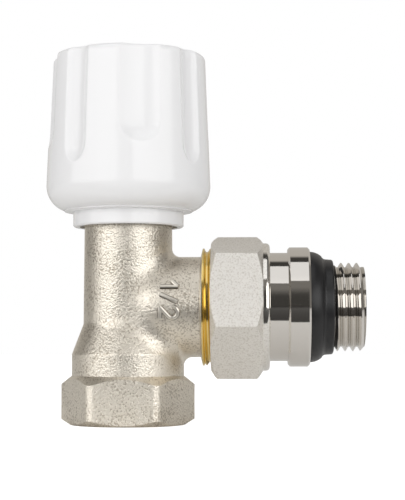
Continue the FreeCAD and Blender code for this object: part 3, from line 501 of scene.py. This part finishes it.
# %% Thread in the foot
PIPE_PITCH, INLET_SPAN = 1.814, (1.0, 12.4)
INLET_TOOTH = [
    (0.0, 10.46), (0.12, 10.44), (0.40, 9.42), (0.46, 9.34),
    (0.54, 9.34), (0.60, 9.42), (0.88, 10.44),
]
upright = Matrix.Rotation(math.radians(-90), 3, "Y")
bm = helix(*INLET_SPAN, PIPE_PITCH, INLET_TOOTH)
bmesh.ops.rotate(bm, verts=bm.verts[:], cent=(0, 0, 0), matrix=upright)
inlet_thread = to_object(bm, "inlet_thread", brass, "valve")
print("inlet thread faces:", len(inlet_thread.data.polygons))

# %% [markdown]
# ## The tail without its plain end
# The tail screws into the radiator with a thread that is cut into its own metal. A sleeve over the
# plain end would make it too thick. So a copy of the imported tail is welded, since its triangles
# come loose, and the faces of its plain end are taken off to make room for the new thread.

# %% Open the end of the tail
TAIL_START, TAIL_END, TAIL_WALL, SLACK = 48.3, 55.4, 9.0, 0.05
TAIL_WELD = 0.0005 * MM


def reach_of(point):
    """Distance from the outlet's axis, in millimetres."""
    return math.hypot(point.y, point.z - OUTLET * MM) / MM


def is_plain_thread(face):
    along = min(vert.co.x for vert in face.verts) / MM
    reach = min(reach_of(vert.co) for vert in face.verts)
    return along > TAIL_START - SLACK and reach > TAIL_WALL


bm = bmesh.new()
bm.from_mesh(frame["nodes"]["tail_piece"].data)
bmesh.ops.remove_doubles(bm, verts=bm.verts[:], dist=TAIL_WELD)
plain = [face for face in bm.faces if is_plain_thread(face)]
bmesh.ops.delete(bm, geom=plain, context="FACES")
tail_core = bpy.data.meshes.new("tail_core")
bm.to_mesh(tail_core)
bm.free()
print("plain faces taken off:", len(plain))

# %% [markdown]
# ## The tail's thread
# A cut thread starts and ends in a chamfer, so that it doesn't cross itself when it is screwed in.
# The chamfers could be cut with more planes, but it is simpler to pull in every point of the helix
# that stands out further than the chamfer allows there. The helix and the open tail then make one
# piece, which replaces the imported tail.

# %% Thread on the tail
TAIL_TOOTH = [
    (0.0, 9.36), (0.06, 9.33), (0.12, 9.40), (0.40, 10.24), (0.46, 10.37),
    (0.54, 10.37), (0.60, 10.24), (0.88, 9.40), (0.94, 9.33),
]
INNER_EDGE, INNER_SLOPE = 9.6, 1.1
OUTER_EDGE, OUTER_SLOPE = 9.4, 1.0


def chamfer_limit(along):
    """The largest radius that the two chamfers allow at a place along the tail."""
    inner = INNER_EDGE + (along - TAIL_START) * INNER_SLOPE
    return min(inner, OUTER_EDGE + (TAIL_END - along) * OUTER_SLOPE)


bm = helix(TAIL_START, TAIL_END, PIPE_PITCH, TAIL_TOOTH, steps=128)
for vert in bm.verts:
    limit = chamfer_limit(vert.co.x / MM)
    radius = vert.co.yz.length / MM
    if radius > limit:
        vert.co.yz = vert.co.yz * (limit / radius)
bmesh.ops.translate(bm, verts=bm.verts[:], vec=(0, 0, OUTLET * MM))
bm.from_mesh(tail_core)
tail = to_object(bm, "threaded_tail", threaded, "tail")
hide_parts("tail_piece")
print("tail faces:", len(tail.data.polygons))

# %% [markdown]
# ## The grip without slivers
# The flutes of the handwheel run out in tight blends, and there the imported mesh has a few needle
# faces that would show as dark specks on the white. A remesh would remove them and blur the edges
# as well. Welding a copy and dissolving only what is thinner than a hair keeps the shape.

# %% Clean copy of the grip
WELD, HAIR = 0.001 * MM, 0.03 * MM
bm = bmesh.new()
bm.from_mesh(frame["nodes"]["handwheel_grip"].data)
packed_faces = len(bm.faces)
bmesh.ops.remove_doubles(bm, verts=bm.verts[:], dist=WELD)
bmesh.ops.dissolve_degenerate(bm, edges=bm.edges[:], dist=HAIR)
bmesh.ops.triangulate(bm, faces=bm.faces[:])
print("slivers taken off:", packed_faces - len(bm.faces))
grip = to_object(bm, "smooth_grip", white, "handwheel")
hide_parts("handwheel_grip")

# %% [markdown]
# ## Soft root of the branch
# On the forged body the branch flows out of the neck and the bell in one wide hollow curve, as
# metal does in a die, while the solid has a small fillet there. A remesh of the body could soften
# that corner, but it would soften every crisp edge as well. So a fine grid is laid on the body
# from the front and from the back, and smoothed like a cloth that may rise but never sink. It
# fills the hollow corners and leaves the rest alone.

# %% Grid over the root
ROOT_X, ROOT_Z, ROOT_CELL = (-7.0, 12.25), (12.5, 44.0), 0.35


def root_grid():
    """An upright grid in the valve's middle plane, as wide and tall as the root."""
    wide, tall = ROOT_X[1] - ROOT_X[0], ROOT_Z[1] - ROOT_Z[0]
    middle = Vector((sum(ROOT_X) / 2, 0, sum(ROOT_Z) / 2)) * MM
    stand = Matrix.Rotation(math.radians(90), 4, "X")
    stretch = Matrix.Diagonal((wide * MM, tall * MM, 1, 1))
    bm = bmesh.new()
    bmesh.ops.create_grid(
        bm, x_segments=round(wide / ROOT_CELL), y_segments=round(tall / ROOT_CELL), size=0.5,
        matrix=Matrix.Translation(middle) @ stand @ stretch,
    )
    return bm


print("cells of the root are", ROOT_CELL, "mm wide")

# %% [markdown]
# ## The grid on the body
# The grid has to start on the metal. A Shrinkwrap modifier could put it there, but the next step
# has to know which points may move. So a ray along Y finds the body under each point of the grid.
# Points that miss it are taken out. Points on the rim of the grid, or where the metal turns
# steeply away, are held in place, because a small move along Y would be a large one there. The
# others may rise.

# %% Lay the grid on the body
ROOT_FAR, STEEP = 32.0 * MM, 0.3
body_bm = bmesh.new()
body_bm.from_mesh(frame["nodes"]["valve_body"].data)
body_tree = BVHTree.FromBMesh(body_bm)
body_bm.free()


def lay_on_body(bm, side):
    """Drops the grid on one side; returns the Y of the points that may rise, and of those held."""
    lost, free, held = [], {}, {}
    for vert in bm.verts:
        start = Vector((vert.co.x, side * ROOT_FAR, vert.co.z))
        hit, normal, *_ = body_tree.ray_cast(start, Vector((0, -side, 0)))
        if hit is None:
            lost.append(vert)
            continue
        vert.co.y = hit.y
        stays = abs(normal.y) < STEEP or vert.is_boundary
        (held if stays else free)[vert] = hit.y
    bmesh.ops.delete(bm, geom=lost, context="VERTS")
    return free, held


print("rays start", ROOT_FAR / MM, "mm from the middle plane")

# %% [markdown]
# ## Filling the hollows
# A forging has no tight hollow corners, because hot metal would fold over itself there. A fillet
# could stand for that, but neck, bell and branch meet at many angles, and one radius doesn't suit
# them all. Each round of smoothing moves a point towards the middle of its neighbours, and then
# nothing is left below the metal. Faces that haven't risen are taken off. The sheet that is left
# sinks by a fiftieth of a millimetre, so its edge goes under the skin of the body and no step
# shows.

# %% Fill the hollows
ROOT_ROUNDS, ROOT_SINK, ROOT_SHOWN = 170, 0.02, 0.025


def fill_hollows(bm, side, free, held):
    """Smooths the grid along Y and returns how far each point has risen, in millimetres."""
    for _ in range(ROOT_ROUNDS):
        bmesh.ops.smooth_vert(
            bm, verts=bm.verts[:], factor=0.5, use_axis_x=False, use_axis_y=True, use_axis_z=False,
        )
        for vert, y in free.items():
            vert.co.y = side * max(side * vert.co.y, side * y)
        for vert, y in held.items():
            vert.co.y = y
    return {vert: side * (vert.co.y - free.get(vert, vert.co.y)) / MM for vert in bm.verts}


for side, name in ((-1, "branch_root_front"), (1, "branch_root_back")):
    bm = root_grid()
    fill = fill_hollows(bm, side, *lay_on_body(bm, side))
    thickest = round(max(fill.values()), 2)
    bare = [face for face in bm.faces if max(fill[vert] for vert in face.verts) < ROOT_SHOWN]
    bmesh.ops.delete(bm, geom=bare, context="FACES")
    bmesh.ops.translate(bm, verts=bm.verts[:], vec=(0, -side * ROOT_SINK * MM, 0))
    bm.normal_update()
    inward = [face for face in bm.faces if face.normal.y * side < 0]
    bmesh.ops.reverse_faces(bm, faces=inward)
    root = to_object(bm, name, blasted, "valve")
    print(name, "faces:", len(root.data.polygons), "thickest:", thickest, "mm")

# %% [markdown]
# ## The size mark, flat
# The size of the pipe stands on the near side of the branch in raised figures. They read
# downwards, with their tops towards the nut. A font would give flat letters with sharp edges,
# while a forged mark is made of rounded ridges. So each figure is a few strokes of a curve with a
# round section, drawn flat first: along the reading direction, and up from the foot of the figure.
# A stroke stops at each sharp corner, because the section of a curve is pinched thin there.

# %% Strokes
MARK_TALL, STROKE = 4.1, 0.6
ONE_AT, SLASH_AT, TWO_AT, BOWL = -4.5, -1.8, 1.5, 1.25
FLAG_WIDE, FLAG_LOW, SLASH_HALF, SLASH_END = 1.4, 1.3, 0.9, 0.1
BOWL_FROM, BOWL_SWEEP = 165, 205


def add_stroke(curve, points):
    spline = curve.splines.new("POLY")
    spline.points.add(len(points) - 1)
    for knot, (along, up) in zip(spline.points, points):
        knot.co = (along * MM, up * MM, 0, 1)


def bowl_points(steps=14):
    """The round top of the 2, from its left end over the top to the start of its slope."""
    for step in range(steps + 1):
        turn = math.radians(BOWL_FROM - BOWL_SWEEP * step / steps)
        yield (TWO_AT + BOWL * math.cos(turn), MARK_TALL - BOWL + BOWL * math.sin(turn))


strokes = bpy.data.curves.new("mark_strokes", "CURVE")
strokes.dimensions = "3D"
strokes.bevel_depth = STROKE * MM
strokes.bevel_resolution = 3
strokes.use_fill_caps = True
add_stroke(strokes, [(ONE_AT, MARK_TALL), (ONE_AT, 0)])
add_stroke(strokes, [(ONE_AT - FLAG_WIDE, MARK_TALL - FLAG_LOW), (ONE_AT, MARK_TALL)])
slash_foot = (SLASH_AT - SLASH_HALF, SLASH_END)
slash_top = (SLASH_AT + SLASH_HALF, MARK_TALL - SLASH_END)
add_stroke(strokes, [slash_foot, slash_top])
add_stroke(strokes, [*bowl_points(), (TWO_AT - BOWL, 0)])
add_stroke(strokes, [(TWO_AT - BOWL, 0), (TWO_AT + BOWL, 0)])
print("strokes:", len(strokes.splines))

# %% [markdown]
# ## The size mark as a mesh
# The strokes are still a curve. Only a mesh can be wrapped round the branch, so Blender works out
# the curve's mesh, and the curve's object goes away again. Long edges are divided, because
# a straight edge would cut through the round branch. A new layer takes the rise of each vertex.

# %% Mesh of the strokes
LONG_EDGE = 0.8 * MM
flat = bpy.data.objects.new("flat_mark", strokes)
scene.collection.objects.link(flat)
bpy.context.view_layer.update()
drawn = flat.evaluated_get(bpy.context.evaluated_depsgraph_get())
mark_mesh = bpy.data.meshes.new_from_object(drawn)
bpy.data.objects.remove(flat)
mark_bm = bmesh.new()
mark_bm.from_mesh(mark_mesh)
rise_layer = mark_bm.verts.layers.float.new("rise")
bmesh.ops.remove_doubles(mark_bm, verts=mark_bm.verts[:], dist=WELD)
long_edges = [edge for edge in mark_bm.edges if edge.calc_length() > LONG_EDGE]
bmesh.ops.subdivide_edges(mark_bm, edges=long_edges, cuts=4, use_grid_fill=False)
bmesh.ops.triangulate(mark_bm, faces=mark_bm.faces[:])
print("edges divided:", len(long_edges))

# %% [markdown]
# ## The size mark on the branch
# The branch grows thicker towards the body, so the flat mark can't simply be rolled up on one
# radius. A Shrinkwrap modifier would press all of it flat on the metal. Here a ray from outside
# finds the metal under each point, and the point keeps its own height above that place.

# %% Wrap the mark round the branch
MARK_FOOT, RIDGE = 8.2, 0.5
BRANCH_R, RAY_FROM = 11.8, 16.0
for vert in mark_bm.verts:
    along, up, out = vert.co / MM
    turn = -along / BRANCH_R
    outward = Vector((0, -math.cos(turn), math.sin(turn)))
    axis_point = Vector((MARK_FOOT + up, 0, OUTLET)) * MM
    metal, *_ = body_tree.ray_cast(axis_point + outward * RAY_FROM * MM, -outward)
    # the rise later sets the painted shade at the foot of the strokes
    vert[rise_layer] = out / STROKE
    vert.co = metal + outward * out * RIDGE / STROKE * MM
bmesh.ops.recalc_face_normals(mark_bm, faces=mark_bm.faces[:])
mark = to_object(mark_bm, "size_mark", rubbed, "valve")
print("size mark faces:", len(mark.data.polygons))

# %% [markdown]
# ## The table
# The valve stands on a white sheet that ends about five centimetres in front of it, on a dark
# table. Polished metal mirrors that edge, which gives the tail its dark band. Two planes could
# do it, but the dark one would show in the picture. So it is one plane: a mirror ray sees white
# up to the edge and dark beyond it, while the camera's own rays get some light added, which makes
# the whole plane white and leaves the valve's soft shadow on it.

# %% Finish of the table
SHEET_FRONT = -54.0 * MM
SHEET, TABLE = (0.82, 0.81, 0.79, 1), (0.04, 0.038, 0.035, 1)
SHEET_GLOW, TABLE_GLOW = 0.8, 1.0
PLAIN_WHITE, PAPER_GLOSS = (1, 1, 1, 1), 0.9
table_finish, tree, shader = new_finish("floor_white")
_, _, y, _ = position(tree, (-1200, 300))
path = add_node(tree, "LightPath", (-800, -200))
sheet = maths(tree, "GREATER_THAN", y, SHEET_FRONT, (-800, 300))
past = maths(tree, "SUBTRACT", path.outputs["Is Glossy Ray"], sheet, (-600, 300))
tree.links.new(blend(tree, "RGBA", past, SHEET, TABLE, (-400, 300)), shader.inputs["Base Color"])
glow = change(tree, sheet, OFF_ON, (TABLE_GLOW, SHEET_GLOW), (-600, 50))
seen = maths(tree, "MULTIPLY", path.outputs["Is Camera Ray"], glow, (-400, -100))
tree.links.new(seen, shader.inputs["Emission Strength"])
shader.inputs["Emission Color"].default_value = PLAIN_WHITE
shader.inputs["Roughness"].default_value = PAPER_GLOSS
print("white sheet ends at y =", round(SHEET_FRONT / MM), "mm")

# %% [markdown]
# ## The plane of the table
# The table only has to be larger than any view of the valve, so one grid face of three metres is
# enough. It lies a twentieth of a millimetre below the valve's foot, because two faces in the same
# place would flicker.

# %% Table
HALF_TABLE, TABLE_DROP = 1.5, 0.05 * MM
floor_bm = bmesh.new()
bmesh.ops.create_grid(floor_bm, x_segments=1, y_segments=1, size=HALF_TABLE)
floor_mesh = bpy.data.meshes.new("floor")
floor_bm.to_mesh(floor_mesh)
floor_bm.free()
floor_mesh.materials.append(table_finish)
floor = bpy.data.objects.new("floor", floor_mesh)
floor.location.z = -TABLE_DROP
scene.collection.objects.link(floor)
print("table side:", 2 * HALF_TABLE, "m")

# %% [markdown]
# ## What the metal mirrors
# Shiny metal looks like the room around it. A picture of a studio could surround the valve, but
# a few steps of grey do as well, and they are easy to tune. The room is dim, darker still behind
# the camera and overhead, and a pale panel stands behind the valve. A direction in the world is a
# vector of length 1, so its Y tells front from back and its Z tells how high it points.

# %% Room for mirror rays
ROOM, FRONT, TOP, PANEL = 0.19, 0.05, 0.05, 0.50
BEHIND_CAMERA, OVERHEAD = (-0.95, -0.78), (0.70, 0.90)
PANEL_LEAN, PANEL_EDGE = (0, 1, 0.4), (0.66, 0.80)
SMOOTH = {"interpolation_type": "SMOOTHSTEP"}
world = bpy.data.worlds.new("studio")
scene.world = world
world.use_nodes = True
tree = world.node_tree
aim = add_node(tree, "TexCoord", (-1300, 200)).outputs["Generated"]
split = add_node(tree, "SeparateXYZ", (-1100, 200))
tree.links.new(aim, split.inputs[0])
front = change(tree, split.outputs["Y"], BEHIND_CAMERA, (FRONT, ROOM), (-900, 400), **SMOOTH)
above = change(tree, split.outputs["Z"], OVERHEAD, (1.0, TOP / ROOM), (-900, 150), **SMOOTH)
room = maths(tree, "MULTIPLY", front, above, (-700, 300))
lean = add_node(tree, "VectorMath", (-1100, -100), operation="DOT_PRODUCT")
lean.inputs[1].default_value = PANEL_LEAN
tree.links.new(aim, lean.inputs[0])
back = change(tree, lean.outputs["Value"], PANEL_EDGE, OFF_ON, (-900, -100), **SMOOTH)
mirrored = blend(tree, "FLOAT", back, room, PANEL, (-500, 200))
print("room", ROOM, "panel", PANEL)

# %% [markdown]
# ## What lights the plastic, and what the camera sees
# A white background is bright, and it throws soft light on the back of the valve. Plastic takes
# its light from all round, so it gets an even grey that grows towards the panel, with no dark
# room in it. The camera sees plain white in every direction. More lamps could make the
# background white, but they would bleach the valve. Light Path tells the three kinds of rays
# apart, so each gets its own brightness, and mirror rays also get the warm tint of a real room.

# %% Soft light and white background
AMBIENT, BACKLIGHT = 0.34, 0.80
TOWARDS_PANEL = (-0.2, 0.6)
WARM = (1, 0.955, 0.885, 1)
path = add_node(tree, "LightPath", (-700, -300))
is_mirror, is_camera = path.outputs["Is Glossy Ray"], path.outputs["Is Camera Ray"]
levels = (AMBIENT, BACKLIGHT)
soft = change(tree, split.outputs["Y"], TOWARDS_PANEL, levels, (-500, -100), **SMOOTH)
lit = blend(tree, "FLOAT", is_mirror, soft, mirrored, (-300, 100))
sky = tree.nodes["Background"]
tree.links.new(maths(tree, "MAXIMUM", lit, is_camera, (-100, 0)), sky.inputs["Strength"])
tree.links.new(blend(tree, "RGBA", is_mirror, PLAIN_WHITE, WARM, (-300, -400)), sky.inputs["Color"])
print("soft light", AMBIENT, "in front and", BACKLIGHT, "behind")

# %% [markdown]
# ## Lamps
# Two large soft boxes stand left and right of the camera, and a weaker one hangs overhead. Small
# lamps or a sun would leave hard spots on the metal. Large boxes give the long bright bands down
# the neck and the tail instead. They stand low, so that the sloping shoulder under the neck
# doesn't flare, and their power stays low enough for the white plastic to keep its shading.

# %% Soft boxes
MIDDLE = Vector((0.012, 0, 0.045))
LAMP_FAR = 0.62


def lamp_place(turn, rise):
    """A place round the valve: turn from the camera's side towards X, rise above level."""
    level = LAMP_FAR * math.cos(math.radians(rise))
    side = level * math.sin(math.radians(turn))
    near = level * math.cos(math.radians(turn))
    return MIDDLE + Vector((side, -near, LAMP_FAR * math.sin(math.radians(rise))))


def soft_box(name, place, size, power):
    data = bpy.data.lights.new(name, "AREA")
    data.shape = "RECTANGLE"
    data.size, data.size_y = size
    data.energy = power
    lamp = bpy.data.objects.new(name, data)
    lamp.location = place
    lamp.rotation_euler = (MIDDLE - place).to_track_quat("-Z", "Y").to_euler()
    scene.collection.objects.link(lamp)
    print(name, "soft box:", size, "m,", power, "W")


soft_box("left", lamp_place(-46, 8), (0.83, 0.58), 2.3)
soft_box("right", lamp_place(39, 8), (0.67, 0.58), 2.1)
soft_box("top", lamp_place(0, 71), (0.5, 0.52), 0.68)

# %% [markdown]
# ## Camera
# The photograph sees the inlet hexagon almost level and a little of the handwheel from below, so
# the camera stands low, a third of a metre away, and tips up slightly. It could track the valve
# with a constraint, but fixed numbers that were fitted to the outlines stay put. The lens is
# written as pixels of distance per picture height, on a sensor of 36 mm.

# %% Camera at the photograph's angle
CAMERA_TURN, CAMERA_TIP = 2.0, 3.6
CAMERA_FAR, CAMERA_SIDE, CAMERA_HEIGHT = 338.2, 17.55, 19.75
SENSOR, PICTURE_HEIGHT, LENS_PIXELS = 36, 500, 1430
swing = Matrix.Rotation(math.radians(CAMERA_TURN), 3, "Z")
eye = swing @ Vector((CAMERA_SIDE, -CAMERA_FAR, CAMERA_HEIGHT)) * MM
camera_data = bpy.data.cameras.new("camera")
camera_data.lens = LENS_PIXELS / PICTURE_HEIGHT * SENSOR
camera_data.sensor_width = SENSOR
camera = bpy.data.objects.new("camera", camera_data)
camera.location = eye
camera.rotation_euler = (math.radians(90 + CAMERA_TIP), 0, math.radians(CAMERA_TURN))
scene.collection.objects.link(camera)
scene.camera = camera
scene.view_settings.view_transform = "Standard"
print("camera at", [round(value, 4) for value in eye])
